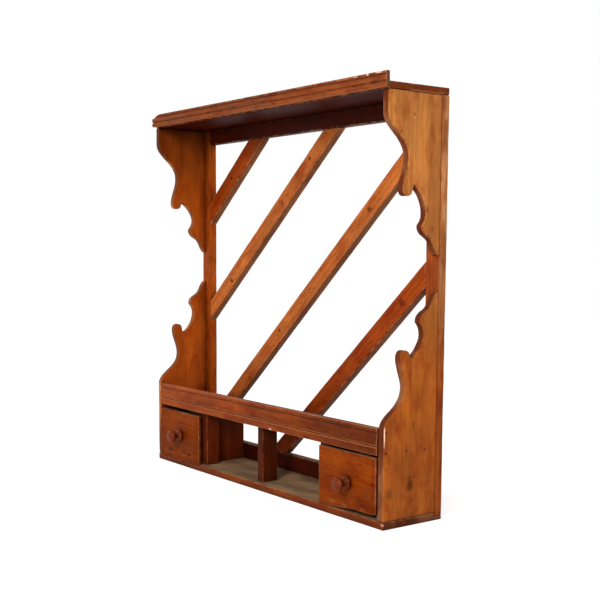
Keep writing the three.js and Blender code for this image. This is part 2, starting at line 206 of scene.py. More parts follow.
class Shader:
    """Adds nodes to a tree and links what they take."""

    def __init__(self, tree):
        self.tree = tree

    def add(self, kind, takes=None, **settings):
        """A new node with its settings, and what its sockets take by name."""
        node = self.tree.nodes.new(kind)
        for name, value in settings.items():
            setattr(node, name, value)
        for name, value in (takes or {}).items():
            self.feed(node.inputs[name], value)
        return node

    def feed(self, socket, value):
        """Links another socket, or sets a value."""
        if isinstance(value, bpy.types.NodeSocket):
            self.tree.links.new(value, socket)
        elif socket.type == "RGBA" and len(value) == 3:
            socket.default_value = (*value, 1)
        else:
            socket.default_value = value

    def math(self, operation, first, second=0.0, clamp=False):
        """A reckoning with two numbers."""
        node = self.add("ShaderNodeMath", operation=operation, use_clamp=clamp)
        self.feed(node.inputs[0], first)
        self.feed(node.inputs[1], second)
        return node.outputs[0]

    def times(self, first, second, clamp=False):
        """Two numbers multiplied."""
        return self.math("MULTIPLY", first, second, clamp)

    def vector(self, operation, first, second=(0, 0, 0)):
        """A reckoning with two vectors, or the first one's length."""
        node = self.add("ShaderNodeVectorMath", operation=operation)
        self.feed(node.inputs[0], first)
        self.feed(node.inputs[1], second)
        return node.outputs["Value" if operation == "LENGTH" else "Vector"]

    def ramp(self, value, low, high, to_low=0.0, to_high=1.0):
        """A smooth step from one number to another, while the value goes from low to high."""
        node = self.add("ShaderNodeMapRange", {
            "Value": value, "From Min": low, "From Max": high, "To Min": to_low, "To Max": to_high},
            interpolation_type="SMOOTHSTEP")
        return node.outputs["Result"]

    def mix(self, share, first, second, blend="MIX"):
        """Two colours mixed or multiplied, by a share."""
        node = self.add("ShaderNodeMix", data_type="RGBA", blend_type=blend, clamp_factor=True)
        self.feed(node.inputs["Factor"], share)
        self.feed(node.inputs[6], first)
        self.feed(node.inputs[7], second)
        return node.outputs[2]

    def scaled(self, tone, factor):
        """A colour made brighter or darker."""
        grey = self.add("ShaderNodeCombineXYZ", {"X": factor, "Y": factor, "Z": factor}).outputs[0]
        return self.mix(1.0, tone, grey, "MULTIPLY")

    def noise(self, place, scale, detail, roughness=0.55):
        """A cloudy pattern. Its scale is one number, or one for each direction."""
        if isinstance(scale, tuple):
            place = self.vector("MULTIPLY", place, scale)
            scale = 1.0
        node = self.add("ShaderNodeTexNoise", {
            "Vector": place, "Scale": scale, "Detail": detail, "Roughness": roughness})
        return node.outputs[0]

    def surface(self, takes):
        """The material's surface, linked to its output."""
        surface = self.add("ShaderNodeBsdfPrincipled", takes)
        output = self.add("ShaderNodeOutputMaterial")
        self.feed(output.inputs["Surface"], surface.outputs[0])


def effect(name, takes, gives):
    """A new shader node group with its sockets: its shader, what it takes and what it gives."""
    group = bpy.data.node_groups.new(name, "ShaderNodeTree")
    for socket_name, kind, default in takes:
        socket = group.interface.new_socket(socket_name, in_out="INPUT", socket_type=kind)
        if default is not None:
            socket.default_value = default
    for socket_name, kind in gives:
        group.interface.new_socket(socket_name, in_out="OUTPUT", socket_type=kind)
    shader = Shader(group)
    start = shader.add("NodeGroupInput")
    end = shader.add("NodeGroupOutput")
    return shader, start.outputs, end.inputs


VALUE = "NodeSocketFloat"
VECTOR = "NodeSocketVector"

# How often each pattern of the wood repeats in a metre, along the grain and both ways across it,
# and the scale of the growth rings
BENDS = (2.4, 10, 10)
STREAKS = (4, 110, 110)
FIBRES = (22, 800, 800)
FIGURE = (6, 16, 16)
PATCHES = (11.7, 28.6, 28.6)
DASHES = (38, 260, 260)
RINGS = 32.0

# How far the growth rings wander, in metres, and how little they change along the board
RING_DRIFT = 0.035
RING_STRETCH = 0.06

# How much rings, streaks and fibres add to the grain
RING_SHARE = 0.45
STREAK_SHARE = 0.5
FIBRE_SHARE = 0.45

# Between which values of their patterns late wood, streaks, patches and dashes come up
LATE_WOOD_BAND = (0.45, 1.0)
STREAK_BAND = (0.42, 0.75)
PATCH_BAND = (0.48, 0.64)
DASH_BAND = (0.62, 0.72)


def pine_grain():
    """Growth rings, streaks and fine fibres that run along X of the place given."""
    shader, takes, gives = effect(
        "Pine grain",
        [("Place", VECTOR, None), ("Rings", VALUE, 1.0)],
        [("Grain", VALUE), ("Fibre", VALUE), ("Figure", VALUE), ("Patch", VALUE), ("Dash", VALUE)])
    place = takes["Place"]
    bend = shader.noise(place, BENDS, 2.0)
    drift = shader.times(shader.math("SUBTRACT", bend, 0.5), RING_DRIFT)
    along = shader.add("ShaderNodeSeparateXYZ", {"Vector": place}).outputs
    bent = shader.add("ShaderNodeCombineXYZ", {
        "X": shader.times(along["X"], RING_STRETCH),
        "Y": shader.math("ADD", along["Y"], drift),
        "Z": along["Z"]})
    rings = shader.add("ShaderNodeTexWave", {
        "Vector": bent.outputs[0], "Scale": RINGS, "Distortion": 1.6, "Detail": 2.0,
        "Detail Scale": 1.5, "Detail Roughness": 0.6},
        wave_type="RINGS", rings_direction="X", wave_profile="SAW")
    late = shader.ramp(rings.outputs["Fac"], *LATE_WOOD_BAND)
    streak = shader.noise(place, STREAKS, 4.0, 0.65)
    fibre = shader.noise(place, FIBRES, 2.0)
    patch = shader.noise(place, PATCHES, 4.0, 0.62)
    dash = shader.noise(place, DASHES, 2.0)
    ringed = shader.times(shader.times(late, takes["Rings"]), RING_SHARE)
    streaked = shader.times(shader.ramp(streak, *STREAK_BAND), STREAK_SHARE)
    fine = shader.times(shader.math("SUBTRACT", fibre, 0.5), FIBRE_SHARE)
    both = shader.math("ADD", ringed, streaked)
    shader.feed(gives["Grain"], shader.math("ADD", both, fine, clamp=True))
    shader.feed(gives["Fibre"], fibre)
    shader.feed(gives["Figure"], shader.noise(place, FIGURE, 4.0, 0.6))
    shader.feed(gives["Patch"], shader.ramp(patch, *PATCH_BAND))
    shader.feed(gives["Dash"], shader.ramp(dash, *DASH_BAND))


# How far from an edge wood is rubbed, and how far from a corner the soiling and painted shade reach, in
# metres
EDGE_REACH = 0.007
CORNER_REACH = 0.045

# How patchy wear, dirt and dust are: how often their patches repeat in a metre
WEAR_PATCHES = 45.0
DUST_CLOUDS = 22.0

# How open an edge is where wear starts and where it is full, and how open a corner is where its soiling
# and painted shade start and where they are full
EDGE_BAND = (0.8, 0.5)
CORNER_BAND = (0.9, 0.35)
CORNER_RIM = (0.99, 0.75)

# Between which values of the patches wood is rubbed, and how unevenly the soiling and painted shade in
# corners spread
RUBBED_BAND = (0.44, 0.62)
SOIL_SHADE_SPREAD = 0.6

# Between which slopes a face looks up enough to hold dust
UPWARD_BAND = (0.8, 0.97)


def wear_soiling_and_shade():
    """Where edges are rubbed, and where corners, joints and grooves are darkened with soiling and
    painted shade.
    """
    shader, takes, gives = effect(
        "Wear, soiling and shade",
        [("Place", VECTOR, None), ("Arris", VALUE, 0.0), ("Groove shade", VALUE, 0.0),
         ("Corner", VALUE, CORNER_REACH)],
        [("Worn", VALUE), ("Soiling and shade", VALUE)])
    inner = shader.add(
        "ShaderNodeAmbientOcclusion", {"Distance": EDGE_REACH}, inside=True, only_local=True, samples=6)
    outer = shader.add("ShaderNodeAmbientOcclusion", {"Distance": takes["Corner"]}, samples=6)
    open_sky = outer.outputs["AO"]
    patches = shader.noise(takes["Place"], WEAR_PATCHES, 4.0, 0.62)
    near = shader.ramp(inner.outputs["AO"], *EDGE_BAND)
    edge = shader.math("MAXIMUM", near, takes["Arris"])
    rubbed = shader.ramp(patches, *RUBBED_BAND)
    shader.feed(gives["Worn"], shader.times(edge, rubbed, clamp=True))
    # Soiling and painted shade in corners and joints, where little open sky is seen
    spread = shader.times(shader.math("SUBTRACT", patches, 0.5), SOIL_SHADE_SPREAD)
    corner = shader.math("ADD", shader.ramp(open_sky, *CORNER_BAND), spread)
    corner_shade = shader.times(corner, shader.ramp(open_sky, *CORNER_RIM), clamp=True)
    # Soiling and painted shade in the mouldings' grooves
    groove_shade = shader.times(takes["Groove shade"], shader.ramp(patches, 0.3, 0.65, 0.2, 0.7))
    shader.feed(gives["Soiling and shade"], shader.math("MAXIMUM", corner_shade, groove_shade))


def upward_dust():
    """Where a face looks up and holds dust."""
    shader, takes, gives = effect(
        "Upward dust", [("Place", VECTOR, None)], [("Dust", VALUE)])
    geometry = shader.add("ShaderNodeNewGeometry")
    height = shader.add("ShaderNodeSeparateXYZ", {"Vector": geometry.outputs["Normal"]}).outputs["Z"]
    cloud = shader.ramp(shader.noise(takes["Place"], DUST_CLOUDS, 4.0), 0.2, 0.6, 0.75, 1.0)
    facing = shader.ramp(height, *UPWARD_BAND)
    shader.feed(gives["Dust"], shader.times(facing, cloud, clamp=True))


def group_node(shader, name, takes):
    """One of the shared effects, fed with what it takes."""
    node = shader.add("ShaderNodeGroup", node_tree=bpy.data.node_groups[name])
    for socket, value in takes.items():
        shader.feed(node.inputs[socket], value)
    return node.outputs


# Knots, holes, burns and pale nicks. For each piece: the axis that its marked face looks along, 1 or
# 0 for the face's end of its box, and for each mark its two other coordinates, its reach along
# both, and its tone, from 1 for black to -1 for bare pale wood
MARKS = {
    "upper_right_side_board": ("X", 1, [
        (0.0057, 0.9515, 0.003, 0.005, 0.6), (0.0058, 0.9449, 0.0025, 0.004, -0.12),
        (-0.0338, 0.910, 0.004, 0.004, 0.5), (-0.0468, 0.931, 0.003, 0.003, 0.5),
        (0.0499, 0.7382, 0.004, 0.009, 0.5), (0.066, 0.697, 0.003, 0.007, 0.4)]),
    "lower_right_side_board": ("X", 1, [
        (0.0098, 0.0965, 0.014, 0.016, 0.55), (-0.0556, 0.0853, 0.011, 0.018, 0.45),
        (0.018, 0.237, 0.003, 0.003, 0.6), (0.044, 0.176, 0.003, 0.002, 0.6),
        (-0.0720, 0.225, 0.0026, 0.038, -1), (0.0773, 0.5495, 0.016, 0.0025, -0.6)]),
    "diagonal_slat_1": ("Y", 0, [(-0.36, 0.854, 0.006, 0.006, 0.8)]),
    "diagonal_slat_2": ("Y", 0, [
        (-0.36, 0.55, 0.009, 0.007, 0.8), (-0.104, 0.774, 0.007, 0.006, 0.7),
        (0.021, 0.889, 0.007, 0.006, 0.8), (0.038, 0.8645, 0.005, 0.005, 0.8)]),
    "diagonal_slat_3": ("Y", 0, [
        (-0.114, 0.417, 0.007, 0.006, 0.8), (0.2705, 0.747, 0.01, 0.008, 0.7),
        (-0.263, 0.268, 0.005, 0.005, 0.7)]),
    "diagonal_slat_4": ("Y", 0, [(0.3956, 0.5184, 0.014, 0.012, 0.6)]),
    "left_drawer_front": ("Y", 0, [
        (-0.446, 0.0396, 0.027, 0.009, 0.6), (-0.37, 0.046, 0.009, 0.006, 0.6),
        (-0.342, 0.04, 0.013, 0.006, 0.75)]),
    "right_drawer_front": ("Y", 0, [
        (0.485, 0.102, 0.004, 0.004, 0.9), (0.31, 0.115, 0.004, 0.005, 0.5)]),
    "cornice_moulding": ("Y", 0, [
        (0.50, 1.038, 0.014, 0.003, -0.8), (0.462, 1.037, 0.005, 0.004, -0.9),
        (0.42, 1.036, 0.01, 0.002, -0.6), (0.485, 1.018, 0.02, 0.006, 0.5)]),
    "front_rail": ("Y", 0, [(0.075, 0.175, 0.008, 0.004, -0.9)]),
    "bottom_board": ("Y", 0, [(0.5195, 0.0125, 0.006, 0.004, -0.45)]),
}

# How deep dark marks go into the wood, how wavy their rims are, and where they fade out and are
# full, in shares of their reach. The waves are the noise's scale, detail, middle and share
MARK_DEPTH = 0.012
MARK_WAVES = (260.0, 3.0, 0.0, 0.7)
MARK_EDGE = (1.45, 0.75)

# Broad stains, given like the marks: positive where the stain is darker, negative where it is
# rubbed thin
STAINS = {
    "upper_right_side_board": ("X", 1, [
        (-0.062, 0.94, 0.012, 0.09, -0.7), (0.07, 0.80, 0.03, 0.16, 0.3),
        (-0.03, 0.76, 0.02, 0.04, 0.4), (0.0, 0.86, 0.03, 0.07, -0.35)]),
    "lower_right_side_board": ("X", 1, [
        (-0.022, 0.398, 0.022, 0.014, 0.85), (0.005, 0.352, 0.004, 0.045, 0.6),
        (-0.010, 0.352, 0.007, 0.035, -0.6), (0.032, 0.394, 0.012, 0.006, 0.5),
        (0.008, 0.314, 0.014, 0.010, 0.45), (0.018, 0.233, 0.004, 0.016, 0.7),
        (-0.035, 0.245, 0.022, 0.03, 0.5), (-0.046, 0.15, 0.02, 0.05, 0.5),
        (-0.003, 0.185, 0.005, 0.022, 0.7), (0.003, 0.115, 0.022, 0.007, 0.5),
        (0.001, 0.08, 0.012, 0.008, -0.6), (0.014, 0.061, 0.006, 0.006, 0.6),
        (-0.012, 0.0745, 0.008, 0.008, 0.5), (0.049, 0.095, 0.022, 0.006, 0.45),
        (-0.028, 0.036, 0.003, 0.007, 0.7), (0.05, 0.32, 0.03, 0.08, -0.3)]),
    "right_stile": ("X", 1, [
        (0.108, 0.30, 0.008, 0.30, 0.6), (0.0995, 0.982, 0.007, 0.02, 0.8),
        (0.0925, 0.8125, 0.005, 0.010, 0.8), (0.104, 0.90, 0.006, 0.05, 0.4)]),
    "lower_left_side_board": ("Y", 0, [(-0.514, 0.09, 0.02, 0.11, 0.8)]),
    "left_drawer_front": ("Y", 0, [
        (-0.44, 0.147, 0.06, 0.014, -0.6), (-0.388, 0.095, 0.035, 0.035, 0.5),
        (-0.30, 0.08, 0.012, 0.08, 0.6), (-0.49, 0.06, 0.015, 0.06, 0.3)]),
    "right_drawer_front": ("Y", 0, [
        (0.36, 0.142, 0.08, 0.018, -0.7), (0.395, 0.095, 0.04, 0.03, 0.6),
        (0.49, 0.09, 0.012, 0.08, 0.6), (0.45, 0.05, 0.03, 0.03, 0.4),
        (0.33, 0.05, 0.04, 0.02, -0.3)]),
    "front_rail": ("Y", 0, [
        (-0.22, 0.205, 0.10, 0.012, 0.6), (0.0, 0.20, 0.05, 0.014, 0.5),
        (0.2, 0.205, 0.09, 0.012, 0.5), (0.43, 0.205, 0.09, 0.03, 0.7),
        (-0.42, 0.215, 0.06, 0.012, -0.5), (0.1, 0.18, 0.05, 0.007, -0.5)]),
    # The cornice's first two stains, dark along its top band, are painted shade
    "cornice_moulding": ("Y", 0, [
        (-0.3, 1.037, 0.2, 0.004, 0.6), (0.2, 1.037, 0.2, 0.004, 0.7),
        (0.40, 1.02, 0.08, 0.006, -0.5), (0.0, 1.008, 0.3, 0.004, -0.4)]),
    "bottom_board": ("Y", 0, [
        (-0.43, 0.006, 0.10, 0.010, 0.7), (0.2, 0.006, 0.10, 0.008, -0.5),
        (0.45, 0.010, 0.06, 0.008, 0.6)]),
    "diagonal_slat_2": ("Y", 0, [
        (-0.25, 0.64, 0.05, 0.04, 0.5), (-0.02, 0.85, 0.05, 0.04, 0.6)]),
    "diagonal_slat_3": ("Y", 0, [
        (0.1, 0.6, 0.06, 0.04, 0.5), (-0.25, 0.28, 0.06, 0.04, 0.4),
        (0.35, 0.83, 0.05, 0.04, -0.4)]),
    "diagonal_slat_4": ("Y", 0, [
        (0.0, 0.18, 0.05, 0.06, 0.8), (0.25, 0.38, 0.05, 0.04, 0.5),
        (0.43, 0.56, 0.04, 0.04, -0.4)]),
}

# The same for the stains
STAIN_DEPTH = 0.02
STAIN_WAVES = (38.0, 4.0, 0.5, 2.2)
STAIN_EDGE = (1.5, 0.3)


def spotted(shader, place, node, table, waves, edge, dark_depth, pale_depth=None):
    """How dark and how pale the piece's spots make each place. Pale spots may be only skin deep."""
    dark = 0.0
    pale = 0.0
    if node not in table:
        return dark, pale
    axis, end, spots = table[node]
    at = "XYZ".index(axis)
    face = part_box(node)[end][at]
    scale, detail, middle, share = waves
    cloud = shader.math("SUBTRACT", shader.noise(place, scale, detail), middle)
    wobble = shader.times(cloud, share)
    for first, second, first_reach, second_reach, tone in spots:
        centre = [first, second]
        centre.insert(at, face)
        reach = [first_reach, second_reach]
        reach.insert(at, dark_depth if tone > 0 else pale_depth or min(reach))
        scaled = shader.vector("DIVIDE", shader.vector("SUBTRACT", place, centre), reach)
        distance = shader.math("ADD", shader.vector("LENGTH", scaled), wobble)
        spot = shader.times(shader.ramp(distance, *edge), abs(tone))
        if tone > 0:
            dark = shader.math("MAXIMUM", spot, dark)
        else:
            pale = shader.math("MAXIMUM", spot, pale)
    return dark, pale


# Heights between which the outer faces turn from darker to paler
FADING = (0.3, 0.75)

# How far inside the case's side its outer face starts and where it is full, in metres
SKIN = (0.005, 0.001)

# How high the grain stands out of the wood, in metres
GRAIN_HEIGHT = 0.0005

# Between which slopes to its broad faces a board's side counts as rim, and as end
RIM_BAND = (0.75, 0.35)
END_BAND = (0.45, 0.85)

# Between which values of the figure rims turn paler and varnish turns thin, and how thin at most
PALER_RIM_BAND = (0.46, 0.62)
THIN_BAND = (0.54, 0.68)
THIN_MOST = 0.5

# Between which values of the figure the wood goes from its darkest to its brightest
FIGURE_BAND = (0.34, 0.66)
FIGURE_TONES = (0.8, 1.1)


class PineShader(Shader):
    """The steps in which the colour of a waxed pine board is built up."""

    def __init__(self, node, rings, corner):
        self.material = empty_material(f"Pine {node}")
        super().__init__(self.material.node_tree)
        self.node = node
        self.tint = colours()
        self.position = self.add("ShaderNodeTexCoord").outputs["Object"]
        self.spot = self.add("ShaderNodeSeparateXYZ", {"Vector": self.position}).outputs
        normal = self.add("ShaderNodeNewGeometry").outputs["Normal"]
        self.facing = self.add("ShaderNodeSeparateXYZ", {"Vector": normal}).outputs
        self.rounded = self.stored("rounded")["Fac"]
        self.grain = group_node(self, "Pine grain", {
            "Place": self.stored("grain")["Vector"], "Rings": rings})
        # The shared wear gives rubbed edges, and soiling with painted shade
        self.wear = group_node(self, "Wear, soiling and shade", {
            "Place": self.position, "Arris": self.rounded, "Groove shade": self.stored("groove_shade")["Fac"],
            "Corner": corner})

    def stored(self, name):
        """What the mesh stores under a name."""
        return self.add("ShaderNodeAttribute", attribute_name=name).outputs

    def by_face(self, base, outside, rim, face, shade):
        """The colour on each side of the board: its rims, its faded outer face, and its darkening along
        one axis, which is painted shade except on the drawer fronts.
        """
        if rim:
            along = self.math("ABSOLUTE", self.facing[face])
            rubbed = self.mix(self.ramp(self.grain["Figure"], *PALER_RIM_BAND), rim[0], rim[1])
            base = self.mix(self.ramp(along, *RIM_BAND), base, rubbed)
        if outside:
            faded = self.mix(self.ramp(self.spot["Z"], *FADING), outside[0], outside[1])
            out = self.math("ABSOLUTE", self.spot["X"])
            beyond = self.ramp(out, CASE_SIDE - SKIN[0], CASE_SIDE - SKIN[1])
            base = self.mix(beyond, base, faded)
            away = self.math("ABSOLUTE", self.math("SUBTRACT", self.spot["Y"], JOINT_PLANE))
            joint = self.times(self.ramp(away, JOINT_STAIN, 0.0), beyond)
            base = self.mix(joint, base, STAIN_TONE, "MULTIPLY")
        # Darker or brighter along one axis: painted shade, except on the drawer fronts, which only get
        # darker towards the bottom
        if shade:
            axis, low, high, low_tone, high_tone = shade
            base = self.scaled(base, self.ramp(self.spot[axis], low, high, low_tone, high_tone))
        return base

    def figured(self, base, contrast, patches, dashes):
        """The stain with the wood's figure, patches, streaks and dashes, and with broad stains."""
        figure = self.grain["Figure"]
        stain, thin = spotted(
            self, self.position, self.node, STAINS, STAIN_WAVES, STAIN_EDGE, STAIN_DEPTH, STAIN_DEPTH)
        thinner = self.math("MAXIMUM", self.ramp(figure, *THIN_BAND, 0.0, THIN_MOST), thin)
        base = self.mix(thinner, base, THIN_TONE, "MULTIPLY")
        darker = self.mix(1.0, base, GRAIN_TONE, "MULTIPLY")
        darkest = self.mix(1.0, darker, GRAIN_TONE, "MULTIPLY")
        base = self.mix(self.times(self.grain["Patch"], patches), base, PATCH_TONE, "MULTIPLY")
        mottled = self.times(stain, self.ramp(self.grain["Patch"], 0.0, 1.0, 0.7, 1.0))
        base = self.mix(mottled, base, STAIN_TONE, "MULTIPLY")
        base = self.mix(self.times(self.grain["Grain"], contrast), base, darker)
        base = self.mix(self.times(self.grain["Dash"], dashes), base, darkest)
        return self.scaled(base, self.ramp(figure, *FIGURE_BAND, *FIGURE_TONES))

    def aged(self, base, arris, rub, beads, ends, dirt):
        """The figured wood with its marks, rubbed edges, painted highlights along rounded edges, end
        grain, soiling with painted shade, and chips.
        """
        dark, pale = spotted(
            self, self.position, self.node, MARKS, MARK_WAVES, MARK_EDGE, MARK_DEPTH)
        base = self.mix(dark, base, self.tint.grime_and_shade)
        worn = self.times(self.wear["Worn"], rub)
        # Every rounded edge also takes a painted highlight, as strong as beads
        rubbed = self.math("MAXIMUM", worn, self.times(self.rounded, beads))
        base = self.mix(rubbed, base, arris or self.tint.worn)
        if ends:
            across = self.math("ABSOLUTE", self.facing["X"])
            base = self.mix(self.ramp(across, *END_BAND), base, ends)
        # Soiling and painted shade in corners, joints and grooves
        base = self.mix(self.times(self.wear["Soiling and shade"], dirt), base, self.tint.grime_and_shade)
        return self.mix(pale, base, self.tint.chip)

    def dusted(self, base, roughness, dusty):
        """The colour and roughness with dust on what faces up."""
        dust = group_node(self, "Upward dust", {"Place": self.position})["Dust"]
        dust = self.times(dust, dusty)
        smeared = self.ramp(self.grain["Figure"], 0.35, 0.7, 0.62, 1.2)
        grained = self.math("SUBTRACT", smeared, self.times(self.grain["Grain"], 0.22))
        base = self.mix(dust, base, self.scaled(self.tint.dusty, grained))
        return base, self.math("ADD", roughness, self.times(dust, 0.4), clamp=True)

    def relief(self, strength):
        """The bumps of grain and fibres, with the dashes sunk in."""
        height = self.math("ADD", self.grain["Grain"], self.times(self.grain["Fibre"], 0.6))
        height = self.math("SUBTRACT", height, self.times(self.grain["Dash"], 1.5))
        bump = self.add("ShaderNodeBump", {
            "Height": height, "Strength": strength, "Distance": GRAIN_HEIGHT})
        return bump.outputs["Normal"]


def pine(node, tone, outside=None, rim=None, face="Y", rings=1.0, contrast=0.6, patches=0.5,
         dashes=0.6, dusty=0.0, rub=0.5, arris=None, dirt=0.85, gloss=0.42, shine=0.07, relief=0.3,
         beads=0.0, shade=None, ends=None, corner=CORNER_REACH):
    """A waxed pine material for one piece.

    tone is its stain, outside the low and the high colour of the case's outer face, rim the two
    colours of the sides that don't look along the axis called face, shade where the colour gets
    darker or brighter along one axis (painted shade, except on the drawer fronts), ends the colour of
    faces that look across the rack, arris that of rubbed edges and of the painted highlight along
    rounded edges, gloss the roughness, shine how strongly the wax reflects, and corner how far
    soiling and painted shade reach from corners. The rest say how strongly each effect shows.
    """
    shader = PineShader(node, rings, corner)
    base = shader.by_face(tone, outside, rim, face, shade)
    base = shader.figured(base, contrast, patches, dashes)
    base = shader.aged(base, arris, rub, beads, ends, dirt)
    roughness = shader.ramp(shader.grain["Figure"], 0.3, 0.7, gloss - 0.08, gloss + 0.12)
    if dusty:
        base, roughness = shader.dusted(base, roughness, dusty)
    shader.surface({
        "Base Color": base, "Roughness": roughness, "Normal": shader.relief(relief),
        "Specular IOR Level": shine, "Specular Tint": WAX_TINT})
    return shader.material


# How often the rust's patches repeat in a metre
RUST_PATCHES = 900.0


def iron_material():
    """Dull iron with patches of rust brown."""
    material = empty_material("Nail iron")
    shader = Shader(material.node_tree)
    position = shader.add("ShaderNodeTexCoord").outputs["Object"]
    patches = shader.noise(position, RUST_PATCHES, 3.0)
    base = shader.mix(shader.ramp(patches, 0.45, 0.75, 0.0, 0.7), colours().iron, colours().grime_and_shade)
    shader.surface({
        "Base Color": base, "Roughness": shader.ramp(patches, 0.3, 0.7, 0.5, 0.8),
        "Metallic": 0.1, "Specular IOR Level": 0.05})
    return material


# The prime under which the names' numbers stay
SEED_LIMIT = 997


def seed_of(name):
    """A number for each name, the same in every run."""
    return sum((index + 1) * ord(letter) for index, letter in enumerate(name)) % SEED_LIMIT


def near_nail(point):
    """Whether a point lies at a nail's hole."""
    return any(
        all(low[axis] - NAIL_REACH < point[axis] < high[axis] + NAIL_REACH for axis in range(3))
        for low, high in NAIL_BOXES)


def butted(edge):
    """Whether an edge of a side board lies in its joint with the stile."""
    return all(
        abs(corner.co.y - JOINT_PLANE) < JOINT_REACH and abs(corner.co.x) > JOINT_OUT
        for corner in edge.verts)


def frame_shape(node):
    """A CAD node's shape with its flat faces whole again."""
    shape = bmesh.new()
    shape.from_mesh(frame["nodes"][node].data)
    bmesh.ops.remove_doubles(shape, verts=shape.verts, dist=WELD)
    bmesh.ops.dissolve_limit(
        shape, angle_limit=FLAT, use_dissolve_boundaries=False, verts=shape.verts, edges=shape.edges)
    return shape


def round_arrises(shape, radius, tight):
    """Rounds the sharp edges over, and marks the new faces. Rims of nail holes and tight joints stay."""
    rounded = shape.faces.layers.int.new("rounded")
    edges = [
        edge for edge in shape.edges
        if edge.is_manifold and edge.calc_face_angle_signed() > SHARP
        and not any(near_nail(corner.co) for corner in edge.verts)
        and not (tight and butted(edge))]
    # Small faces along hollow edges are marked for soiling and painted shade in the grooves
    groove_shade = shape.faces.layers.int.new("groove_shade")
    for edge in shape.edges:
        if edge.is_manifold and edge.calc_face_angle_signed() < -SHARP / 2:
            for face in edge.link_faces:
                face[groove_shade] = int(face.calc_area() < GROOVE_AREA)
    made = bmesh.ops.bevel(
        shape, geom=edges, offset=radius, offset_type="OFFSET", segments=ARRIS_STEPS, profile=0.5,
        affect="EDGES", clamp_overlap=False)
    for face in made["faces"]:
        face[rounded] = 1
    return rounded


# How far the sections of a board stray from even distances, and how fast that changes
STATION_DRIFT = 0.3
STATION_CHANGE = 0.7


def cut_stations(shape, along, spacing, seed):
    """Cuts the board into sections across its length, at uneven distances."""
    reach = [corner.co.dot(along) for corner in shape.verts]
    low, high = min(reach), max(reach)
    count = int((high - low) / spacing)
    for step in range(1, count):
        shift = noise.noise(Vector((step * STATION_CHANGE, seed, 0.5))) * STATION_DRIFT
        at = low + (step + shift) * (high - low) / count
        bmesh.ops.bisect_plane(
            shape, geom=shape.verts[:] + shape.edges[:] + shape.faces[:], dist=WELD,
            plane_co=along * at, plane_no=along)


# How often dents and the plane's waves repeat in a metre, and how much sharper deep dents are
DENT_SCALE = 45
WAVE_SCALE = 9
DENT_CURVE = 1.5

# How far each board's dents are shifted against the next one's
DENT_SHIFT = (0.37, 0.11, 0.23)


def wear_down(shape, rounded, dents, planing, seed):
    """Dents the rounded edges and makes the faces slightly uneven. Only takes wood away."""
    shape.normal_update()
    shift = Vector([seed * step for step in DENT_SHIFT])
    moves = []
    for corner in shape.verts:
        if near_nail(corner.co):
            continue
        marks = [face[rounded] for face in corner.link_faces]
        edge = max(0.0, 2 * sum(marks) / len(marks) - 1)
        small = noise.noise((corner.co + shift) * DENT_SCALE)
        large = noise.noise((corner.co + shift) * WAVE_SCALE)
        depth = planing * (0.5 + 0.5 * large)
        depth += dents * edge * max(0.0, small + 0.5 * large + 0.1) ** DENT_CURVE
        moves.append((corner, corner.normal * -depth))
    for corner, move in moves:
        corner.co += move


# How much a board leans in its log: the least, the step from one board to the next, and the twist
LEAN = math.radians(1.2)
LEAN_STEP = math.radians(0.4)
TWIST = math.radians(0.8)

# How far the nearest boards lie up the trunk and from the pith, and the steps to the next ones
PITH = (0, 0.035, 0.02)
PITH_STEP = (0.731, 0.012, 0.009)


def sawn(seed):
    """How a board lay in its log: its lean against the trunk, and its way from the pith."""
    lean = Matrix.Rotation(LEAN + seed % 3 * LEAN_STEP, 3, "Z") @ Matrix.Rotation(TWIST, 3, "Y")
    counts = (seed, seed % 7, seed % 5)
    return lean, Vector([least + step * count for least, step, count in zip(PITH, PITH_STEP, counts)])


def store_grain(mesh, along, seed):
    """Stores where in its log each point of a board lies, with X along the grain."""
    side = along.cross(UP if along == DEPTH else DEPTH).normalized()
    turn = Matrix((along, side, along.cross(side)))
    lean, pith = sawn(seed)
    low = Vector(min(corner.co[axis] for corner in mesh.vertices) for axis in range(3))
    high = Vector(max(corner.co[axis] for corner in mesh.vertices) for axis in range(3))
    middle = (low + high) / 2
    grain = mesh.attributes.new("grain", "FLOAT_VECTOR", "POINT")
    values = []
    for corner in mesh.vertices:
        values.extend(lean @ turn @ (corner.co - middle) + pith)
    grain.data.foreach_set("vector", values)


def finished(name, shape, material, node, along):
    """Turns a shape into a piece that replaces its CAD node and rides with its body."""
    mesh = bpy.data.meshes.new(name)
    shape.to_mesh(mesh)
    shape.free()
    mesh.shade_smooth()
    mesh.set_sharp_from_angle(angle=SMOOTH)
    store_grain(mesh, along, seed_of(node))
    mesh.materials.append(material)
    piece = added(name, mesh)
    shading = piece.modifiers.new("Even shading", "WEIGHTED_NORMAL")
    shading.keep_sharp = True
    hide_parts(node)
    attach(piece, BODIES[node])


def board(node, along, tone, rounding=1.0, **finish):
    """A worn board in the place and shape of its CAD node, with its grain along one direction.

    rounding is a factor on how far its edges are rounded, and finish goes to its material.
    """
    material = pine(node, tone, **finish)
    size = sizes()
    seed = seed_of(node)
    shape = frame_shape(node)
    rounded = round_arrises(shape, size.arris * rounding, "side_board" in node)
    cut_stations(shape, along, size.station, seed)
    wear_down(shape, rounded, size.dents, size.planing, seed)
    finished(f"worn_{node}", shape, material, node, along)


# Where the colour gets darker or brighter: an axis, two places on it in metres, and how bright it is
# at both. The side boards darken under the top, the rail towards the right and the centre post
# towards the back, all painted shade; the drawer fronts get darker towards the bottom.
SIDE_SHADE = ("Z", 0.75, 0.98, 1.1, 0.45)
RAIL_SHADE = ("X", -0.4, 0.5, 1.2, 0.5)
POST_SHADE = ("Y", -0.09, 0.08, 0.7, 0.3)
DRAWER_SHADE = ("Z", 0.02, 0.13, 0.8, 1.0)

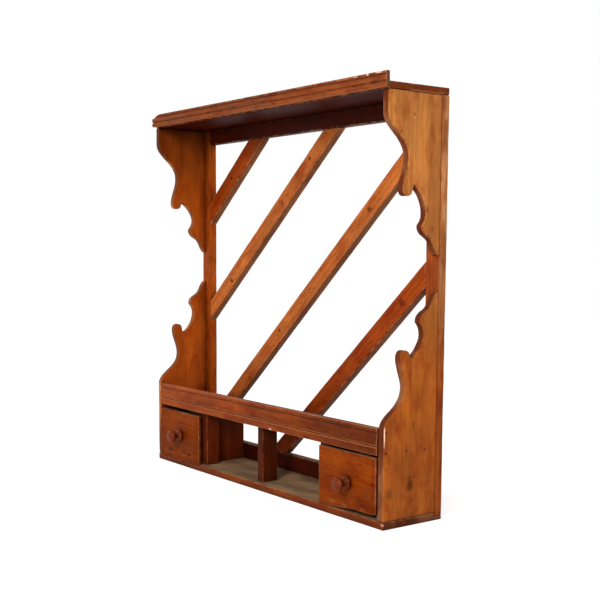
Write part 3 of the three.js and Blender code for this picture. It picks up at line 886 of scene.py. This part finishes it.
# How far soiling and painted shade reach out of a moulding's corners, in metres
MOULDING_CORNER = 0.012


def moulding(node, tone, shade=None):
    """A moulding with rubbed bands, painted highlights along its rounded edges, soiling and painted
    shade in its grooves, and grey ends.
    """
    tint = colours()
    board(
        node, ACROSS, tone, rounding=1.1, arris=tint.bead_wear_and_highlight, rub=0.9, patches=0.8, dashes=0.9,
        beads=0.7, ends=tint.end_grain, corner=MOULDING_CORNER, shade=shade)


class PLATERACK_OT_finishes(Operator):
    """Build the shared effects: grain, wear with soiling and painted shade, and dust"""
    bl_idname = "plate_rack.finishes"
    bl_label = "Finishes"
    bl_options = {"REGISTER", "UNDO"}

    def execute(self, context):
        pine_grain()
        wear_soiling_and_shade()
        upward_dust()
        return {"FINISHED"}


class PLATERACK_OT_back_frame(Operator):
    """Make the two stiles and the two rails of the back frame"""
    bl_idname = "plate_rack.back_frame"
    bl_label = "Back frame"
    bl_options = {"REGISTER", "UNDO"}

    def execute(self, context):
        tint = colours()
        for node, inner in (("left_stile", tint.inside), ("right_stile", tint.rail)):
            board(
                node, UP, inner, outside=(tint.stile_low, tint.stile_high), arris=tint.rim,
                patches=0.9, dashes=0.3, dirt=0.7)
        # The back rails' nearly black colour is painted shade
        board("top_back_rail", ACROSS, tint.deep, dashes=0.2, relief=0.1)
        board("low_back_rail", ACROSS, tint.deep, dusty=0.7, dashes=0.2)
        return {"FINISHED"}


def slat_direction(node):
    """The direction of a slat's longest edge, pointing to the right."""
    shape = frame_shape(node)
    longest = max(shape.edges, key=lambda edge: edge.calc_length())
    along = (longest.verts[1].co - longest.verts[0].co).normalized()
    shape.free()
    return along if along.x > 0 else -along


class PLATERACK_OT_slats(Operator):
    """Make the slanting slats that the plates lean on"""
    bl_idname = "plate_rack.slats"
    bl_label = "Slats"
    bl_options = {"REGISTER", "UNDO"}

    def execute(self, context):
        tint = colours()
        tones = (tint.slat_red, tint.slat, tint.slat, tint.slat_red)
        for number, tone in enumerate(tones, start=1):
            node = f"diagonal_slat_{number}"
            board(
                node, slat_direction(node), tone, rim=(tint.edge, tint.edge), contrast=0.8,
                patches=0.8, dashes=1.0)
        return {"FINISHED"}


class PLATERACK_OT_side_boards(Operator):
    """Make the four scrolled side boards"""
    bl_idname = "plate_rack.side_boards"
    bl_label = "Side boards"
    bl_options = {"REGISTER", "UNDO"}

    def execute(self, context):
        tint = colours()
        for level in ("upper", "lower"):
            for hand in ("left", "right"):
                node = f"{level}_{hand}_side_board"
                # The left side boards are darkened under the top: painted shade
                dim = SIDE_SHADE if hand == "left" else None
                rims = (tint.rim_light, tint.worn) if hand == "left" else (tint.rim, tint.rim_light)
                board(
                    node, UP, tint.inside, rounding=1.8, outside=(tint.faded_low, tint.faded_high),
                    rim=rims, face="X", arris=tint.rim, contrast=0.5, patches=0.7, dashes=0.3,
                    dusty=0.5, shade=dim)
        return {"FINISHED"}


class PLATERACK_OT_top_and_bottom(Operator):
    """Make the top and bottom boards and the cornice"""
    bl_idname = "plate_rack.top_and_bottom"
    bl_label = "Top, cornice and bottom"
    bl_options = {"REGISTER", "UNDO"}

    def execute(self, context):
        tint = colours()
        # The top board's nearly black colour is painted shade, as under the top
        board(
            "top_board", ACROSS, tint.deep, rounding=1.5, rim=(tint.rim, tint.rim), face="Z",
            dusty=1.0, dashes=0.2, gloss=0.45, shine=0.03, relief=0.04)
        board(
            "bottom_board", ACROSS, tint.rail, rim=(tint.rim, tint.rim_light), dusty=1.0,
            patches=0.8)
        moulding("cornice_moulding", tint.cornice)
        return {"FINISHED"}


class PLATERACK_OT_shelf(Operator):
    """Make the moulded front rail, the plate shelf, and the posts and dividers below it"""
    bl_idname = "plate_rack.shelf"
    bl_label = "Shelf, rail and posts"
    bl_options = {"REGISTER", "UNDO"}

    def execute(self, context):
        tint = colours()
        # The rail darkens towards the right: painted shade
        moulding("front_rail", tint.rail, RAIL_SHADE)
        board("plate_shelf", ACROSS, tint.dark, dusty=1.0)
        for node in ("centre_post", "left_post", "right_post", "left_divider", "right_divider"):
            shadow = POST_SHADE if node == "centre_post" else None
            board(node, UP, tint.dark, dirt=0.5, rub=0.2, shine=0.06, shade=shadow)
        return {"FINISHED"}


# A drawer box's boards and the direction of their grain
DRAWER_BOARDS = {"outer_side": DEPTH, "inner_side": DEPTH, "back": ACROSS, "bottom": ACROSS}


class PLATERACK_OT_drawers(Operator):
    """Make both drawers' boards"""
    bl_idname = "plate_rack.drawers"
    bl_label = "Drawers"
    bl_options = {"REGISTER", "UNDO"}

    def execute(self, context):
        tint = colours()
        for hand in ("left", "right"):
            board(
                f"{hand}_drawer_front", ACROSS, tint.drawer, rounding=1.6, rim=(tint.dark, tint.dark),
                dusty=0.9, patches=0.7, rub=0.4, beads=0.1, dirt=0.6, gloss=0.34, shine=0.03,
                shade=DRAWER_SHADE)
            for part, along in DRAWER_BOARDS.items():
                board(f"{hand}_drawer_{part}", along, tint.bare, rounding=0.5, gloss=0.7)
        return {"FINISHED"}


# A knob's profile from its foot to its face, in shares of its radius and of its length
KNOB_PROFILE = [
    (0.74, 0.0), (0.86, 0.05), (0.93, 0.13), (0.87, 0.21), (0.68, 0.27), (0.5, 0.33), (0.46, 0.41),
    (0.54, 0.5), (0.76, 0.59), (0.94, 0.68), (1.0, 0.78), (0.95, 0.87), (0.78, 0.94), (0.45, 0.985),
    (0.2, 0.998), (0.0, 1.0)]
KNOB_STEPS = 6

# How thick the spigot is, as a share of the knob's radius, and the gap under the knob's foot
SPIGOT_SHARE = 0.35
KNOB_GAP = 0.0003


def smooth_profile(points, steps):
    """A smooth curve through the points of a profile."""
    curve = []
    for index in range(len(points) - 1):
        before = Vector(points[max(index - 1, 0)])
        start = Vector(points[index])
        end = Vector(points[index + 1])
        after = Vector(points[min(index + 2, len(points) - 1)])
        for step in range(steps):
            t = step / steps
            curve.append(0.5 * (
                2 * start + (end - before) * t + (2 * before - 5 * start + 4 * end - after) * t ** 2
                + (3 * start - before - 3 * end + after) * t ** 3))
    curve.append(Vector(points[-1]))
    return curve


def knob_outline(node):
    """A knob's outline from the spigot's end to the middle of its face: radius and depth."""
    low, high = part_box(node)
    front_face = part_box(node.replace("knob", "front"))[0].y
    radius = (high.x - low.x) / 2
    foot = front_face - KNOB_GAP
    length = foot - low.y
    spigot = radius * SPIGOT_SHARE
    points = [Vector((0, high.y)), Vector((spigot, high.y)), Vector((spigot, foot))]
    for share in smooth_profile(KNOB_PROFILE, KNOB_STEPS):
        points.append(Vector((max(share.x, 0) * radius, foot - share.y * length)))
    return points


def knob(node, material):
    """A turned knob about its CAD node's axis, with the spigot that holds it in the drawer front."""
    low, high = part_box(node)
    centre = (low + high) / 2
    sides = sizes().knob_sides
    shape = bmesh.new()
    rings = []
    for point in knob_outline(node):
        if point.x < WELD:
            rings.append([shape.verts.new((centre.x, point.y, centre.z))])
            continue
        rings.append([
            shape.verts.new((
                centre.x + point.x * math.cos(step * math.tau / sides), point.y,
                centre.z + point.x * math.sin(step * math.tau / sides)))
            for step in range(sides)])
    for first, second in zip(rings, rings[1:]):
        for step in range(sides):
            after = (step + 1) % sides
            corners = [first[step % len(first)], first[after % len(first)],
                       second[after % len(second)], second[step % len(second)]]
            shape.faces.new(list(dict.fromkeys(corners)))
    bmesh.ops.recalc_face_normals(shape, faces=shape.faces)
    finished(f"turned_{node}", shape, material, node, ACROSS)


class PLATERACK_OT_knobs(Operator):
    """Turn the two drawer knobs"""
    bl_idname = "plate_rack.knobs"
    bl_label = "Knobs"
    bl_options = {"REGISTER", "UNDO"}

    def execute(self, context):
        tint = colours()
        for hand in ("left", "right"):
            node = f"{hand}_drawer_knob"
            knob(node, pine(
                node, tint.knob, rings=0.5, rub=0.2, dashes=0.2, gloss=0.2, shine=0.16, relief=0.05))
        return {"FINISHED"}


class PLATERACK_OT_nails(Operator):
    """Give the nails their iron finish"""
    bl_idname = "plate_rack.nails"
    bl_label = "Nails"
    bl_options = {"REGISTER", "UNDO"}

    def execute(self, context):
        material = iron_material()
        for node, shape in frame["nodes"].items():
            if "_nail_" in node:
                shape.data.materials.clear()
                shape.data.materials.append(material)
        return {"FINISHED"}


# The camera, to the right of the rack's front and a little above its middle, with its angles in
# radians, its lens and sensor in millimetres and its shift as a share of the sensor
CAMERA_PLACE = Vector((2.3153, -1.6627, 0.6519))
CAMERA_YAW = 0.9261
CAMERA_PITCH = -0.112
CAMERA_ROLL = 0.0053
CAMERA_LENS = 63.47
CAMERA_SHIFT = 0.11
CAMERA_SENSOR = 36


def make_camera():
    """The camera that takes the picture, turned by its yaw, pitch and roll."""
    camera = added("Camera", bpy.data.cameras.new("Camera"))
    yaw = Matrix.Rotation(CAMERA_YAW, 4, "Z")
    pitch = Matrix.Rotation(math.pi / 2 + CAMERA_PITCH, 4, "X")
    roll = Matrix.Rotation(CAMERA_ROLL, 4, "Z")
    camera.matrix_world = Matrix.Translation(CAMERA_PLACE) @ yaw @ pitch @ roll
    camera.data.lens = CAMERA_LENS
    camera.data.sensor_width = CAMERA_SENSOR
    camera.data.shift_y = CAMERA_SHIFT
    bpy.context.scene.camera = camera


# The lamps: name, place, the point that they face, size in metres and power in watts
LAMPS = [
    ("Key lamp", (2.0, -3.2, 2.4), (0, 0, 0.5), 1.2, 115),
    ("Side lamp", (3.4, 0.6, 1.4), (0.4, 0, 0.5), 1.6, 14),
    ("Catch light", (2.5, -2.1, 1.0), (0, 0, 0.3), 0.15, 12),
]


def soft_lamp(name, place, target, size, power):
    """A round lamp that faces a point."""
    lamp = added(name, bpy.data.lights.new(name, "AREA"))
    lamp.data.shape = "DISK"
    lamp.data.size = size
    lamp.data.energy = power
    lamp.location = place
    lamp.rotation_euler = (Vector(place) - Vector(target)).to_track_quat("Z", "Y").to_euler()


# How bright the even light from all round is
SKY_LEVEL = 0.55


def make_world():
    """Even light from all round, with a white background for the camera, gloss and glass."""
    world = bpy.data.worlds.new("Studio")
    bpy.context.scene.world = world
    world.use_nodes = True
    world.node_tree.nodes.clear()
    shader = Shader(world.node_tree)
    rays = shader.add("ShaderNodeLightPath").outputs
    seen = shader.math("MAXIMUM", rays["Is Camera Ray"], rays["Is Glossy Ray"])
    seen = shader.math("MAXIMUM", seen, rays["Is Transmission Ray"])
    strength = shader.ramp(seen, 0.0, 1.0, SKY_LEVEL, 1.0)
    background = shader.add("ShaderNodeBackground", {"Color": (1, 1, 1), "Strength": strength})
    output = shader.add("ShaderNodeOutputWorld")
    shader.feed(output.inputs["Surface"], background.outputs[0])


# What is added to the floor where the camera sees it, so that it meets the white background
FLOOR_GLOW = 0.5

# The floor's width and its gap to the rack, in metres
FLOOR_WIDTH = 14.0
FLOOR_GAP = 0.0004


def make_floor():
    """The pale plain floor that keeps the rack's shadow."""
    shape = bmesh.new()
    bmesh.ops.create_grid(shape, x_segments=1, y_segments=1, size=FLOOR_WIDTH / 2)
    mesh = bpy.data.meshes.new("Floor")
    shape.to_mesh(mesh)
    shape.free()
    material = empty_material("Pale floor")
    shader = Shader(material.node_tree)
    seen = shader.add("ShaderNodeLightPath").outputs["Is Camera Ray"]
    shader.surface({
        "Base Color": colours().floor, "Roughness": 0.9, "Specular IOR Level": 0.0,
        "Emission Color": shader.mix(seen, (0, 0, 0), (1, 1, 1)), "Emission Strength": FLOOR_GLOW})
    mesh.materials.append(material)
    floor = added("Floor", mesh)
    floor.location.z = -FLOOR_GAP


class PLATERACK_OT_stage(Operator):
    """Set up the camera, the pale floor and the soft light"""
    bl_idname = "plate_rack.stage"
    bl_label = "Stage"
    bl_options = {"REGISTER", "UNDO"}

    def execute(self, context):
        make_camera()
        make_world()
        make_floor()
        for lamp in LAMPS:
            soft_lamp(*lamp)
        context.scene.view_settings.view_transform = "Standard"
        return {"FINISHED"}


class PLATERACK_PT_panel(Panel):
    """Sizes, colours and the steps that make the rack"""
    bl_label = "Plate Rack"
    bl_space_type = "VIEW_3D"
    bl_region_type = "UI"
    bl_category = "Plate Rack"

    def draw(self, context):
        for group in (context.scene.plate_rack_sizes, context.scene.plate_rack_colours):
            box = self.layout.box()
            for name in group.__annotations__:
                box.prop(group, name)
        for operator in OPERATORS:
            self.layout.operator(operator.bl_idname)


OPERATORS = (
    PLATERACK_OT_stage,
    PLATERACK_OT_finishes,
    PLATERACK_OT_back_frame,
    PLATERACK_OT_slats,
    PLATERACK_OT_side_boards,
    PLATERACK_OT_top_and_bottom,
    PLATERACK_OT_shelf,
    PLATERACK_OT_drawers,
    PLATERACK_OT_knobs,
    PLATERACK_OT_nails,
)
CLASSES = (PlateRackSizes, PlateRackColours, *OPERATORS, PLATERACK_PT_panel)


def register():
    for each in CLASSES:
        bpy.utils.register_class(each)
    bpy.types.Scene.plate_rack_sizes = PointerProperty(type=PlateRackSizes)
    bpy.types.Scene.plate_rack_colours = PointerProperty(type=PlateRackColours)


def unregister():
    del bpy.types.Scene.plate_rack_colours
    del bpy.types.Scene.plate_rack_sizes
    for each in reversed(CLASSES):
        bpy.utils.unregister_class(each)


def corners(box):
    """A box's two corners as plain lists."""
    return [list(corner) for corner in box]


def main():
    register()
    for operator in OPERATORS:
        family, name = operator.bl_idname.split(".")
        getattr(getattr(bpy.ops, family), name)()


if __name__ == "__main__":
    main()
